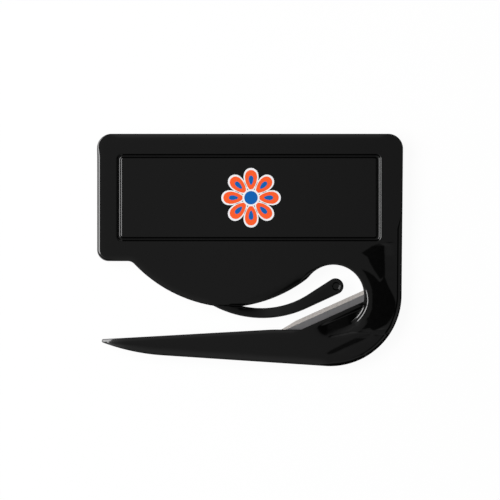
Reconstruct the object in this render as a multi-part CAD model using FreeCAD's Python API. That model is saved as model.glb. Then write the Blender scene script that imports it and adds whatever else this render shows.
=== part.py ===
import FreeCAD, Part
import math
import os

# A hand letter slitter: two moulded halves welded face to face round a steel blade.
# It lies on its back. X runs along the handle, Y up across it, Z out of the front face.
# The origin is at the middle of the outline, on the back face. Millimetres and degrees.

# ---- whole outline ----
overall_width = 104.8
handle_height = 43.6
shell_thickness = 2.5
corner_left = 5.0
corner_right = 5.1
corner_ledge = 3.9
side_lean = 0.52
hook_radius = 24.5
hook_below_ledge = 11.5

# ---- rounded belly below the handle ----
ledge_length = 11.85
belly_depth = 15.7
belly_to_hook = 34.67
belly_low_radius = 36.0
belly_half_turn = 11.6
ledge_fillet = 3.1

# ---- throat that the envelope's edge runs into ----
throat_radius = 10.5
throat_right_of_hook = 1.1
throat_below_hook = 0.25
throat_into_belly = 0.4
throat_blend = 10.9

# ---- pointed arm under the mouth ----
lip_below_throat = 6.15
lip_angle = 24.15
shelf_below_hook = 11.95
shelf_length = 9.8
knee_radius = 37.5
nose_flat = 0.02
nose_from_left = 2.2
nose_below_shelf = 3.9
tip_length = 20.29
tip_depth = 4.94
tip_taper_length = 9.0
tip_taper_drop = 1.1

# ---- guide finger that presses the paper on the blade ----
finger_head_radius = 2.73
finger_head_right = 0.75
finger_head_above = 3.13
finger_low_angle = 24.7
finger_low_straight = 12.3
finger_top_angle = 32.7
finger_top_straight = 9.5
finger_root_left = 5.3
finger_root_right = 4.7
finger_root_depth = 2.0
finger_drop = 0.8
dimple_radius = 1.17
dimple_rim = 0.4
dimple_pin_height = 0.7

# ---- surface forms ----
edge_round = 0.6
groove_depth = 0.5
groove_width = 2.1
groove_from_left = 6.5
groove_from_right = 7.1
groove_from_top = 6.7
groove_from_ledge = 6.6
groove_outer_corner = 1.9
groove_inner_corner = 0.5
dish_width = 8.7
dish_depth = 0.3
scoop_width = 2.1
scoop_step = 0.3
scoop_skin = 0.6

# ---- inside of the halves ----
side_wall = 2.4
face_skin = 1.3
cavity_corner = 2.5
rib_thickness = 1.2
rib_columns = 5
rib_rows = 2
pin_radius = 1.0
pin_height = 0.9
pin_clearance = 0.1
boss_radius = 2.2
pin_inset_x = 8.0
pin_inset_y = 4.4

# ---- blade ----
blade_held_left = 2.9
blade_held_right = 2.4
blade_width = 8.0
blade_thickness = 0.4
blade_exposure = 3.45
blade_bevel = 1.34
blade_clearance = 0.1
blade_corner_run = 10.4
blade_corner_drop = 1.25
post_inset = 2.4
post_height = 0.8
post_clearance = 0.1

# ---- worked-out levels and lines ----
left = -overall_width / 2
right = overall_width / 2
overall_height = handle_height + hook_below_ledge + hook_radius
top = overall_height / 2
bottom = -overall_height / 2
ledge = top - handle_height
parting = shell_thickness
nose_radius = edge_round + nose_flat
OVERCUT = 1.0  # how far cutting tools reach past the surface that they cut
NEAR = 1e-5  # points closer than this are one point


def vec(point, z=0.0):
    return FreeCAD.Vector(point[0], point[1], z)


def polar(centre, radius, angle):
    turn = math.radians(angle)
    return (centre[0] + radius * math.cos(turn), centre[1] + radius * math.sin(turn))


def toward(centre, point, radius):
    reach = math.dist(centre, point)
    return (centre[0] + (point[0] - centre[0]) * radius / reach,
            centre[1] + (point[1] - centre[1]) * radius / reach)


def turned(point, centre, angle):
    bearing = math.degrees(math.atan2(point[1] - centre[1], point[0] - centre[0]))
    return polar(centre, math.dist(centre, point), bearing + angle)


def meet(first, first_radius, second, second_radius):
    """Lower of the two points where two circles cross."""
    dx = second[0] - first[0]
    dy = second[1] - first[1]
    apart = math.hypot(dx, dy)
    along = (apart ** 2 + first_radius ** 2 - second_radius ** 2) / (2 * apart)
    across = math.sqrt(first_radius ** 2 - along ** 2)
    ends = [(first[0] + (along * dx + side * across * dy) / apart,
             first[1] + (along * dy - side * across * dx) / apart) for side in (-1, 1)]
    return min(ends, key=lambda end: end[1])


def line(start, end):
    return Part.LineSegment(vec(start), vec(end)).toShape()


def arc(centre, start, end, clockwise=False):
    """Arc about centre, from start to end."""
    radius = math.dist(centre, start)
    first = math.degrees(math.atan2(start[1] - centre[1], start[0] - centre[0]))
    last = math.degrees(math.atan2(end[1] - centre[1], end[0] - centre[0]))
    if clockwise:
        turn = -((first - last) % 360.0)
    else:
        turn = (last - first) % 360.0
    middle = polar(centre, radius, first + turn / 2)
    return Part.Arc(vec(start), vec(middle), vec(end)).toShape()


def prism(edges, low, high):
    face = Part.Face(Part.Wire(edges))
    face.translate(FreeCAD.Vector(0, 0, low))
    return face.extrude(FreeCAD.Vector(0, 0, high - low))


def polygon(points, low, high):
    closed = list(points) + [points[0]]
    return prism([line(a, b) for a, b in zip(closed, closed[1:])], low, high)


def cylinder(centre, radius, low, high):
    return Part.makeCylinder(radius, high - low, vec(centre, low))


def rounded_block(x_low, x_high, y_low, y_high, corner, low, high):
    block = Part.makeBox(x_high - x_low, y_high - y_low, high - low, FreeCAD.Vector(x_low, y_low, low))
    upright = [edge for edge in block.Edges if abs(edge.tangentAt(edge.FirstParameter).z) > 1 - NEAR]
    return block.makeFillet(corner, upright)


# ---- centres and tangent points of the outline ----
lean = math.radians(side_lean)
corner_tl = (left + corner_left, top - corner_left)
corner_tr = (right - corner_right, top - corner_right)
corner_bl = (left + corner_ledge, ledge + corner_ledge)
hook_y = ledge - hook_below_ledge
hook_x = (corner_tr[0] + (corner_right - hook_radius) / math.cos(lean)
          - (corner_tr[1] - hook_y) * math.tan(lean))
hook = (hook_x, hook_y)
throat = (hook_x + throat_right_of_hook, hook_y - throat_below_hook)
throat_off_belly = throat_radius - throat_into_belly


def flank_to_ledge():
    """Radius of the arc that rises from the belly's low arc to its place on the ledge."""
    run = belly_left_end[0] - left - ledge_length
    rise = ledge - belly_left_end[1]
    return math.hypot(run, rise) / (2 * math.sin(math.atan2(rise, run) - math.radians(belly_half_turn)))


def flank_to_throat():
    """Radius of the arc that rises from the low arc and passes the throat's centre at a set distance."""
    up = polar((0, 0), 1, 90 + belly_half_turn)
    offset = (belly_right_end[0] - throat[0]) * up[0] + (belly_right_end[1] - throat[1]) * up[1]
    return ((math.dist(belly_right_end, throat) ** 2 - throat_off_belly ** 2)
            / (2 * (throat_off_belly - offset)))


belly = (hook_x - belly_to_hook, ledge - belly_depth + belly_low_radius)
belly_right_end = polar(belly, belly_low_radius, -90 + belly_half_turn)
belly_left_end = polar(belly, belly_low_radius, -90 - belly_half_turn)
left_radius = flank_to_ledge()
right_radius = flank_to_throat()
belly_left = toward(belly_left_end, belly, left_radius)
belly_right = toward(belly_right_end, belly, right_radius)

fillet_y = ledge - ledge_fillet
fillet_reach = math.sqrt((left_radius + ledge_fillet) ** 2 - (fillet_y - belly_left[1]) ** 2)
fillet_centre = (belly_left[0] - fillet_reach, fillet_y)
fillet_low = toward(fillet_centre, belly_left, ledge_fillet)

blend = meet(belly_right, right_radius - throat_blend, throat, throat_radius + throat_blend)
blend_start = toward(throat, blend, throat_radius)
blend_end = toward(belly_right, blend, right_radius)


# ---- directions along the lip and across it, from the spine to the cutting edge ----
lip_turn = math.radians(lip_angle)
along_lip = (math.cos(lip_turn), math.sin(lip_turn))
across_lip = (-math.sin(lip_turn), math.cos(lip_turn))


def from_throat(along, across):
    """A point given by its distances from the throat's centre, along and across the lip."""
    return (throat[0] + along * along_lip[0] + across * across_lip[0],
            throat[1] + along * along_lip[1] + across * across_lip[1])


shelf = hook_y - shelf_below_hook
lip_foot = from_throat(0, -lip_below_throat)
lip_left = (lip_foot[0] + (shelf - lip_foot[1]) / math.tan(lip_turn), shelf)
lip_right = from_throat(math.sqrt(throat_radius ** 2 - lip_below_throat ** 2), -lip_below_throat)

nose = (left + nose_from_left, shelf - nose_below_shelf)
tip_start = (nose[0] + tip_length, nose[1] - tip_depth)
hook_bearing = math.degrees(math.atan2(hook[1] - tip_start[1], hook[0] - tip_start[0]))
under_angle = hook_bearing - math.degrees(math.asin(hook_radius / math.dist(tip_start, hook)))
under_start = polar(hook, hook_radius, -90 + under_angle)

knee_corner = (lip_left[0] - shelf_length, shelf)
knee_bearing = math.degrees(math.atan2(shelf - nose[1], knee_corner[0] - nose[0]))
arm_top_angle = knee_bearing - math.degrees(math.asin(nose_radius / math.dist(nose, knee_corner)))
nose_top = polar(nose, nose_radius, 90 + arm_top_angle)


def tip_arc():
    """Centre and end of the arc that leaves the underside at tip_start and runs on to the nose."""
    up = polar((0, 0), 1, 90 + under_angle)
    height = (nose[0] - tip_start[0]) * up[0] + (nose[1] - tip_start[1]) * up[1]
    radius = (math.dist(tip_start, nose) ** 2 - nose_radius ** 2) / (2 * (height - nose_radius))
    centre = (tip_start[0] + radius * up[0], tip_start[1] + radius * up[1])
    return centre, toward(centre, nose, radius)


def knee():
    """Centre and ends of the gentle arc from the arm's sloping top to its level shelf."""
    reach = knee_radius * math.tan(math.radians(arm_top_angle) / 2)
    start = polar(knee_corner, reach, 180 + arm_top_angle)
    end = (knee_corner[0] + reach, shelf)
    return (end[0], shelf - knee_radius), start, end


# ---- finger: a straight from the head, then an arc that swings up to its root on the belly ----
def on_belly(offset):
    """Point of the belly's low arc at a distance left or right of its middle."""
    return (belly[0] + offset, belly[1] - math.sqrt(belly_low_radius ** 2 - offset ** 2))


def swing(bend, angle, root):
    """Centre and radius of the arc that leaves a straight at bend and passes through root."""
    up = polar((0, 0), 1, 90 + angle)
    height = (root[0] - bend[0]) * up[0] + (root[1] - bend[1]) * up[1]
    radius = math.dist(bend, root) ** 2 / (2 * height)
    return (bend[0] + radius * up[0], bend[1] + radius * up[1]), radius


head = (throat[0] + finger_head_right, throat[1] + finger_head_above)
root_left = on_belly(-finger_root_left)
root_right = on_belly(finger_root_right)
low_tangent = polar(head, finger_head_radius, -90 + finger_low_angle)
low_bend = polar(low_tangent, finger_low_straight, 180 + finger_low_angle)
low_centre, low_radius = swing(low_bend, finger_low_angle, root_left)
top_tangent = polar(head, finger_head_radius, 90 + finger_top_angle)
top_bend = polar(top_tangent, finger_top_straight, 180 + finger_top_angle)
top_centre, top_radius = swing(top_bend, finger_top_angle, root_right)
inner_left = turned(root_left, low_centre, -math.degrees(finger_root_depth / low_radius))
inner_right = turned(root_right, top_centre, -math.degrees(finger_root_depth / top_radius))


def body_edges():
    """The outline without the finger, from the top left corner round by the right."""
    tip_centre, tip_end = tip_arc()
    knee_centre, knee_start, knee_end = knee()
    side_top = polar(corner_tr, corner_right, -side_lean)
    side_end = polar(hook, hook_radius, -side_lean)
    top_left = (corner_tl[0], top)
    top_right = (corner_tr[0], top)
    left_top = (left, corner_tl[1])
    left_low = (left, corner_bl[1])
    ledge_left = (corner_bl[0], ledge)
    ledge_right = (fillet_centre[0], ledge)
    return [line(top_left, top_right), arc(corner_tr, top_right, side_top, True), line(side_top, side_end),
            arc(hook, side_end, under_start, True), line(under_start, tip_start),
            arc(tip_centre, tip_start, tip_end, True), arc(nose, tip_end, nose_top, True),
            line(nose_top, knee_start), arc(knee_centre, knee_start, knee_end, True),
            line(knee_end, lip_left), line(lip_left, lip_right), arc(throat, lip_right, blend_start),
            arc(blend, blend_start, blend_end, True), arc(belly_right, blend_end, belly_right_end, True),
            arc(belly, belly_right_end, belly_left_end, True),
            arc(belly_left, belly_left_end, fillet_low, True),
            arc(fillet_centre, fillet_low, ledge_right), line(ledge_right, ledge_left),
            arc(corner_bl, ledge_left, left_low, True),
            line(left_low, left_top), arc(corner_tl, left_top, top_left, True)]


def finger_edges():
    """The finger's outline, closed inside the belly that it grows from."""
    return [arc(low_centre, inner_left, low_bend), line(low_bend, low_tangent),
            arc(head, low_tangent, top_tangent), line(top_tangent, top_bend),
            arc(top_centre, top_bend, inner_right, True), line(inner_right, inner_left)]


def rim(solid, seams):
    """Edges round a prism's show face, without straight ones as long as the seams given."""
    raised = [edge for edge in solid.Edges if all(end.Point.z > NEAR for end in edge.Vertexes)]
    return [edge for edge in raised
            if not any(math.isclose(edge.Length, seam, abs_tol=NEAR) for seam in seams)]


taper_start = nose[0] + tip_taper_length


def taper_tool():
    """Tool with a long curved underside that thins the arm toward its point."""
    radius = (tip_taper_length ** 2 + tip_taper_drop ** 2) / (2 * tip_taper_drop)
    end = left - OVERCUT
    depth = bottom - OVERCUT
    centre = FreeCAD.Vector(taper_start, depth, shell_thickness - radius)

    def on_curve(x):
        return FreeCAD.Vector(x, depth, centre.z + math.sqrt(radius ** 2 - (taper_start - x) ** 2))

    curve = Part.Arc(on_curve(taper_start), on_curve((taper_start + end) / 2), on_curve(end)).toShape()
    roof = shell_thickness + OVERCUT
    corners = [on_curve(end), FreeCAD.Vector(end, depth, roof), FreeCAD.Vector(taper_start, depth, roof),
               on_curve(taper_start)]
    sides = [Part.LineSegment(start, stop).toShape() for start, stop in zip(corners, corners[1:])]
    return Part.Face(Part.Wire([curve] + sides)).extrude(FreeCAD.Vector(0, shelf - depth + OVERCUT, 0))


def dish_tool():
    """Shallow cone round the throat: the hook's face slopes down toward it."""
    radius = throat_radius + dish_width
    depth = dish_depth * radius / dish_width
    reach = radius * (1 + OVERCUT / depth)
    return Part.makeCone(0, reach, depth + OVERCUT, vec(throat, shell_thickness - depth))


def scoop_tool():
    """Relief below the blade, a steep cone cut off at the cutting edge's line."""
    floor = blade_thickness / 2 + scoop_skin
    floor_radius = throat_radius + scoop_step
    flare = (scoop_width - scoop_step) / (shell_thickness - floor)
    top_radius = throat_radius + scoop_width + flare * OVERCUT
    cone = Part.makeCone(floor_radius, top_radius, shell_thickness - floor + OVERCUT, vec(throat, floor))
    reach = top_radius + OVERCUT
    below = [from_throat(-reach, edge_across), from_throat(-reach, -reach),
             from_throat(reach, -reach), from_throat(reach, edge_across)]
    return cone.common(polygon(below, floor, shell_thickness + OVERCUT))


def cavity():
    """Hollow between the skins, with ribs and bosses left standing in it."""
    depth = shell_thickness - face_skin
    x_low = left + side_wall
    x_high = hook[0] + hook_radius - side_wall
    y_low = ledge + side_wall
    y_high = top - side_wall
    hollow = rounded_block(x_low, x_high, y_low, y_high, cavity_corner, 0, depth)
    belly_hollow = cylinder(belly, belly_low_radius - side_wall, 0, depth)
    half_chord = math.sqrt((belly_low_radius - side_wall) ** 2 - (belly[1] - y_low) ** 2)
    window = Part.makeBox(2 * half_chord, overall_height, depth,
                          FreeCAD.Vector(belly[0] - half_chord, y_low + cavity_corner - overall_height, 0))
    hollow = hollow.fuse(belly_hollow.common(window)).removeSplitter()
    for column in range(1, rib_columns + 1):
        x = x_low + (x_high - x_low) * column / (rib_columns + 1)
        hollow = hollow.cut(Part.makeBox(rib_thickness, overall_height, depth,
                                         FreeCAD.Vector(x - rib_thickness / 2, bottom, 0)))
    for row in range(1, rib_rows + 1):
        y = y_low + (y_high - y_low) * row / (rib_rows + 1)
        hollow = hollow.cut(Part.makeBox(overall_width, rib_thickness, depth,
                                         FreeCAD.Vector(left, y - rib_thickness / 2, 0)))
    for place in pin_places():
        hollow = hollow.cut(cylinder(place, boss_radius, 0, depth))
    return hollow


def pin_places():
    """Locating pins near the handle's four corners."""
    return [(x, y) for x in (left + pin_inset_x, right - pin_inset_x)
            for y in (ledge + pin_inset_y, top - pin_inset_y)]


# ---- blade strip: places along the lip and across it, measured from the throat's centre ----
edge_across = blade_exposure - lip_below_throat
spine_across = edge_across - blade_width
blade_right = math.sqrt(throat_radius ** 2 - edge_across ** 2) + blade_held_right
edge_at_shelf = (shelf - throat[1] - edge_across * across_lip[1]) / along_lip[1]
blade_left = edge_at_shelf - blade_held_left


def post_places():
    return [from_throat(along, spine_across + post_inset)
            for along in (blade_left + post_inset, blade_right - post_inset)]


def blade_pocket():
    """Half of the blade's seat, cut in each shell at the parting plane."""
    corners = [from_throat(blade_left - blade_clearance, spine_across - blade_clearance),
               from_throat(blade_right + blade_clearance, spine_across - blade_clearance),
               from_throat(blade_right + blade_clearance, edge_across + blade_clearance),
               from_throat(blade_left - blade_clearance, edge_across + blade_clearance)]
    return polygon(corners, 0, blade_thickness / 2)


def tapered_body():
    """The outline without its finger, thinned toward the arm's point, its show edge rounded."""
    body = prism(body_edges(), 0, shell_thickness).cut(taper_tool())
    crease = [edge for edge in body.Edges if edge.Length < shelf - bottom
              and all(abs(end.Point.x - taper_start) < NEAR < end.Point.z for end in edge.Vertexes)]
    return body.makeFillet(edge_round, rim(body, [edge.Length for edge in crease]))


def finger_half():
    finger = prism(finger_edges(), 0, shell_thickness - finger_drop)
    return finger.makeFillet(edge_round, rim(finger, [math.dist(inner_right, inner_left)]))


def half_shell():
    """One moulded half, parting plane at z = 0 and its show face at shell_thickness."""
    body = tapered_body().cut(dish_tool()).cut(scoop_tool())
    body = body.fuse(finger_half()).removeSplitter()
    return body.cut(cavity()).cut(blade_pocket())


def groove_ring():
    """Groove round the raised print panel."""
    x_low = left + groove_from_left
    x_high = right - groove_from_right
    y_low = ledge + groove_from_ledge
    y_high = top - groove_from_top
    floor = shell_thickness - groove_depth
    roof = shell_thickness + OVERCUT
    outer = rounded_block(x_low, x_high, y_low, y_high, groove_outer_corner, floor, roof)
    inner = rounded_block(x_low + groove_width, x_high - groove_width, y_low + groove_width,
                          y_high - groove_width, groove_inner_corner, floor, roof)
    return outer.cut(inner)


def front_shell():
    shell = half_shell().cut(groove_ring())
    for place in pin_places():
        shell = shell.cut(cylinder(place, pin_radius + pin_clearance, 0, pin_height + pin_clearance))
    for place in post_places():
        shell = shell.cut(cylinder(place, pin_radius + pin_clearance, 0,
                                   blade_thickness / 2 + post_height + pin_clearance))
    finger_level = shell_thickness - finger_drop
    shell = shell.cut(cylinder(head, dimple_radius, 0, finger_level))
    shell = shell.cut(Part.makeCone(dimple_radius, dimple_radius + dimple_rim, dimple_rim,
                                    vec(head, finger_level - dimple_rim)))
    shell.translate(FreeCAD.Vector(0, 0, parting))
    return shell


def back_shell():
    """The same half turned over, with the pins that the front half takes."""
    shell = half_shell().mirror(FreeCAD.Vector(0, 0, 0), FreeCAD.Vector(0, 0, 1))
    floor = blade_thickness / 2
    for place in pin_places():
        shell = shell.fuse(cylinder(place, pin_radius, -floor, pin_height))
    for place in post_places():
        shell = shell.fuse(cylinder(place, pin_radius, -2 * floor, floor + post_height))
    shell = shell.fuse(cylinder(head, dimple_radius - pin_clearance, -floor, dimple_pin_height))
    shell = shell.removeSplitter()
    shell.translate(FreeCAD.Vector(0, 0, parting))
    return shell


def blade():
    """Steel strip with a bevel on both sides, one corner ground back, and two holes."""
    half = blade_thickness / 2
    shoulder = edge_across - blade_bevel
    section = [(spine_across, -half), (shoulder, -half), (edge_across, 0), (shoulder, half),
               (spine_across, half), (spine_across, -half)]
    corners = [vec(from_throat(blade_left, across), z) for across, z in section]
    length = vec(along_lip) * (blade_right - blade_left)
    strip = Part.Face(Part.makePolygon(corners)).extrude(length)
    ground = [from_throat(blade_left - OVERCUT, edge_across + OVERCUT),
              from_throat(blade_left - OVERCUT, edge_across - blade_corner_drop),
              from_throat(blade_left, edge_across - blade_corner_drop),
              from_throat(blade_left + blade_corner_run, edge_across),
              from_throat(blade_left + blade_corner_run, edge_across + OVERCUT)]
    strip = strip.cut(polygon(ground, -blade_thickness, blade_thickness))
    for place in post_places():
        strip = strip.cut(cylinder(place, pin_radius + post_clearance, -blade_thickness, blade_thickness))
    strip.translate(FreeCAD.Vector(0, 0, parting))
    return strip


os.makedirs("parts", exist_ok=True)
for name, make in (("front_shell", front_shell), ("back_shell", back_shell), ("blade", blade)):
    shape = make()
    box = shape.BoundBox
    print(name, shape.isValid(), len(shape.Solids), round(shape.Volume, 1),
          [round(v, 2) for v in (box.XMin, box.XMax, box.YMin, box.YMax, box.ZMin, box.ZMax)])
    shape.Solids[0].exportStep(os.path.join("parts", name + ".step"))
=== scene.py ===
import bpy
import math
import numpy as np
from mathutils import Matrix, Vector
from mathutils.geometry import delaunay_2d_cdt


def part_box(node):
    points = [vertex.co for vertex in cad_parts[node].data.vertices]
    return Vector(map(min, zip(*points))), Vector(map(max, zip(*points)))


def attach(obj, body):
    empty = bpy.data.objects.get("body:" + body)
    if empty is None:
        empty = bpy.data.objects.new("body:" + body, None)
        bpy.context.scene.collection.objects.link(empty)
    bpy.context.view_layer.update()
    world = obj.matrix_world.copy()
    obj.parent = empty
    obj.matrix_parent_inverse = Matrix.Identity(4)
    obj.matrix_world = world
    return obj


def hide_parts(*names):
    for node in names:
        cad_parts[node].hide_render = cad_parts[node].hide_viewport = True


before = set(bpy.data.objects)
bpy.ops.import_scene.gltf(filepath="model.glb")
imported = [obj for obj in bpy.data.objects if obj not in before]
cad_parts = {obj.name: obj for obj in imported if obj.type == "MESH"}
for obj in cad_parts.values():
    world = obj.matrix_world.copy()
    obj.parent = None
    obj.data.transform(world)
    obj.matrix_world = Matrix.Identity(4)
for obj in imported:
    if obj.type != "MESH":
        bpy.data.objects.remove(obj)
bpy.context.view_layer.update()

# A hand letter slitter on its back: two glossy black halves, a steel blade across the throat,
# and a printed rosette in the grooved panel. Lengths are millimetres until a mesh is made.

MM = 0.001
low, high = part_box("front_shell")
LEFT = low.x / MM
RIGHT = high.x / MM
TOP = high.y / MM
FACE = high.z / MM
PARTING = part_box("back_shell")[0].z / MM + FACE / 2

# ---- outline: driving sizes, as in the part's source ----
handle_height = 43.6
corner_left = 5.0
corner_right = 5.1
corner_ledge = 3.9
side_lean = 0.52
hook_radius = 24.5
hook_below_ledge = 11.5
ledge_length = 11.85
belly_depth = 15.7
belly_to_hook = 34.67
belly_low_radius = 36.0
belly_half_turn = 11.6
ledge_fillet = 3.1
throat_radius = 10.5
throat_right_of_hook = 1.1
throat_below_hook = 0.25
throat_into_belly = 0.4
throat_blend = 10.9
lip_below_throat = 6.15
lip_angle = 24.15
shelf_below_hook = 11.95
shelf_length = 9.8
knee_radius = 37.5
nose_radius = 0.62
nose_from_left = 2.2
nose_below_shelf = 3.9
tip_length = 20.29
tip_depth = 4.94
finger_head_radius = 2.73
finger_head_right = 0.75
finger_head_above = 3.13
finger_low_angle = 24.7
finger_low_straight = 12.3
finger_top_angle = 32.7
finger_top_straight = 9.5
finger_root_left = 5.3
finger_root_right = 4.7

# ---- surface forms ----
finger_bank = 9.0
finger_bank_from = 9.0
finger_bank_run = 10.0
finger_bank_reach = 4.0
finger_nod_from = 20.0
finger_nod_run = 9.0
finger_nod = 0.08
finger_root_run = 20.0
notch_depth = 0.9
notch_half_width = 0.72
notch_run = 10.0
notch_above = 0.2
notch_tail = 3.0
notch_fade = 1.5
notch_least = 0.02
tip_taper_length = 9.0
tip_taper_drop = 1.1
groove_depth = 0.74
groove_width = 2.05
groove_width_along = 1.85
groove_from_left = 6.5
groove_from_right = 7.37
groove_from_top = 6.7
groove_from_ledge = 6.6
groove_outer_corner = 1.9
groove_inner_corner = 0.4
groove_wall_angle = 58.0
groove_lip_round = 0.42
groove_foot_round = 0.46
panel_sink = 0.04
dimple_radius = 1.5
dimple_wall = 0.5
dimple_right = 0.2
dimple_depth = 0.75
seam_chamfer = 0.08
crisp_side = 25.0

# ---- blade ----
blade_held_left = 2.9
blade_held_right = 2.4
blade_width = 8.0
blade_thickness = 0.4
blade_exposure = 3.45
blade_bevel = 1.34
blade_clearance = 0.1
pocket_wall = 0.06
edge_land = 0.01
blade_corner_run = 10.4
blade_corner_drop = 1.25


# ======== plane geometry ========
def polar(centre, radius, angle):
    turn = math.radians(angle)
    return (centre[0] + radius * math.cos(turn), centre[1] + radius * math.sin(turn))


def toward(centre, point, radius):
    reach = math.dist(centre, point)
    return (centre[0] + (point[0] - centre[0]) * radius / reach,
            centre[1] + (point[1] - centre[1]) * radius / reach)


def bearing(centre, point):
    return math.degrees(math.atan2(point[1] - centre[1], point[0] - centre[0]))


def meet(first, first_radius, second, second_radius):
    """Lower of the two points where two circles cross."""
    dx = second[0] - first[0]
    dy = second[1] - first[1]
    apart = math.hypot(dx, dy)
    along = (apart ** 2 + first_radius ** 2 - second_radius ** 2) / (2 * apart)
    across = math.sqrt(first_radius ** 2 - along ** 2)
    ends = [(first[0] + (along * dx + side * across * dy) / apart,
             first[1] + (along * dy - side * across * dx) / apart) for side in (-1, 1)]
    return min(ends, key=lambda end: end[1])


def through(start, angle, end, end_offset=0.0):
    """Centre of the arc that leaves start in a direction and passes end at a distance."""
    up = polar((0, 0), 1, 90 + angle)
    height = (end[0] - start[0]) * up[0] + (end[1] - start[1]) * up[1]
    radius = (math.dist(start, end) ** 2 - end_offset ** 2) / (2 * (height - end_offset))
    return (start[0] + radius * up[0], start[1] + radius * up[1]), radius


def ring(centre, radius, angles):
    return np.column_stack((centre[0] + radius * np.cos(angles), centre[1] + radius * np.sin(angles)))


def unit(rows):
    return rows / np.maximum(np.linalg.norm(rows, axis=1), 1e-12)[:, None]


def left_of(rows):
    return np.column_stack((-rows[:, 1], rows[:, 0]))


BOTTOM = TOP - handle_height - hook_below_ledge - hook_radius
ledge = TOP - handle_height
lean = math.radians(side_lean)
corner_tl = (LEFT + corner_left, TOP - corner_left)
corner_tr = (RIGHT - corner_right, TOP - corner_right)
corner_bl = (LEFT + corner_ledge, ledge + corner_ledge)
hook_y = ledge - hook_below_ledge
hook = (corner_tr[0] + (corner_right - hook_radius) / math.cos(lean)
        - (corner_tr[1] - hook_y) * math.tan(lean), hook_y)
throat = (hook[0] + throat_right_of_hook, hook[1] - throat_below_hook)
THROAT = np.array(throat)

belly = (hook[0] - belly_to_hook, ledge - belly_depth + belly_low_radius)
belly_right_end = polar(belly, belly_low_radius, -90 + belly_half_turn)
belly_left_end = polar(belly, belly_low_radius, -90 - belly_half_turn)
run = belly_left_end[0] - LEFT - ledge_length
climb = ledge - belly_left_end[1]
left_radius = math.hypot(run, climb) / (2 * math.sin(math.atan2(climb, run) - math.radians(belly_half_turn)))
belly_right, right_radius = through(belly_right_end, belly_half_turn, throat,
                                    throat_into_belly - throat_radius)
belly_left = toward(belly_left_end, belly, left_radius)
fillet_y = ledge - ledge_fillet
fillet_centre = (belly_left[0] - math.sqrt((left_radius + ledge_fillet) ** 2
                                           - (fillet_y - belly_left[1]) ** 2), fillet_y)
fillet_low = toward(fillet_centre, belly_left, ledge_fillet)
blend = meet(belly_right, right_radius - throat_blend, throat, throat_radius + throat_blend)
blend_start = toward(throat, blend, throat_radius)
blend_end = toward(belly_right, blend, right_radius)

lip_turn = math.radians(lip_angle)
ALONG = np.array((math.cos(lip_turn), math.sin(lip_turn)))
ACROSS = np.array((-math.sin(lip_turn), math.cos(lip_turn)))


def from_throat(along, across):
    return tuple(THROAT + along * ALONG + across * ACROSS)


shelf = hook_y - shelf_below_hook
lip_foot = from_throat(0, -lip_below_throat)
lip_left = (lip_foot[0] + (shelf - lip_foot[1]) / math.tan(lip_turn), shelf)
lip_right = from_throat(math.sqrt(throat_radius ** 2 - lip_below_throat ** 2), -lip_below_throat)
nose = (LEFT + nose_from_left, shelf - nose_below_shelf)
tip_start = (nose[0] + tip_length, nose[1] - tip_depth)
under_angle = bearing(tip_start, hook) - math.degrees(math.asin(hook_radius / math.dist(tip_start, hook)))
under_start = polar(hook, hook_radius, -90 + under_angle)
knee_corner = (lip_left[0] - shelf_length, shelf)
arm_top_angle = bearing(nose, knee_corner) \
    - math.degrees(math.asin(nose_radius / math.dist(nose, knee_corner)))
nose_top = polar(nose, nose_radius, 90 + arm_top_angle)
tip_centre, tip_radius = through(tip_start, under_angle, nose, nose_radius)
knee_reach = knee_radius * math.tan(math.radians(arm_top_angle) / 2)
knee_start = polar(knee_corner, knee_reach, 180 + arm_top_angle)
knee_end = (knee_corner[0] + knee_reach, shelf)
knee_centre = (knee_end[0], shelf - knee_radius)

head = (throat[0] + finger_head_right, throat[1] + finger_head_above)
dimple = (head[0] + dimple_right, head[1])


def on_belly(offset):
    return (belly[0] + offset, belly[1] - math.sqrt(belly_low_radius ** 2 - offset ** 2))


root_left = on_belly(-finger_root_left)
root_right = on_belly(finger_root_right)
low_tangent = polar(head, finger_head_radius, -90 + finger_low_angle)
low_bend = polar(low_tangent, finger_low_straight, 180 + finger_low_angle)
low_centre, low_radius = through(low_bend, finger_low_angle, root_left)
top_tangent = polar(head, finger_head_radius, 90 + finger_top_angle)
top_bend = polar(top_tangent, finger_top_straight, 180 + finger_top_angle)
top_centre, _ = through(top_bend, finger_top_angle, root_right)


# ======== the blade's place, along and across its edge, from the throat's centre ========
edge_across = blade_exposure - lip_below_throat
spine_across = edge_across - blade_width
edge_at_shelf = (shelf - throat[1] - edge_across * ACROSS[1]) / ALONG[1]
blade_left = edge_at_shelf - blade_held_left
blade_right = math.sqrt(throat_radius ** 2 - edge_across ** 2) + blade_held_right


def off_blade(points):
    """Distance outside the blade's rectangle, less than nothing within it."""
    along = (points - THROAT) @ ALONG
    across = (points - THROAT) @ ACROSS
    return np.maximum(np.maximum(blade_left - along, along - blade_right),
                      np.maximum(spine_across - across, across - edge_across))


# ======== the outline, clockwise ========
side_top = polar(corner_tr, corner_right, -side_lean)
side_middle = (side_top[0] - crisp_side * math.sin(lean), side_top[1] - crisp_side)
side_end = polar(hook, hook_radius, -side_lean)
tip_end = toward(tip_centre, nose, tip_radius)
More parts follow.
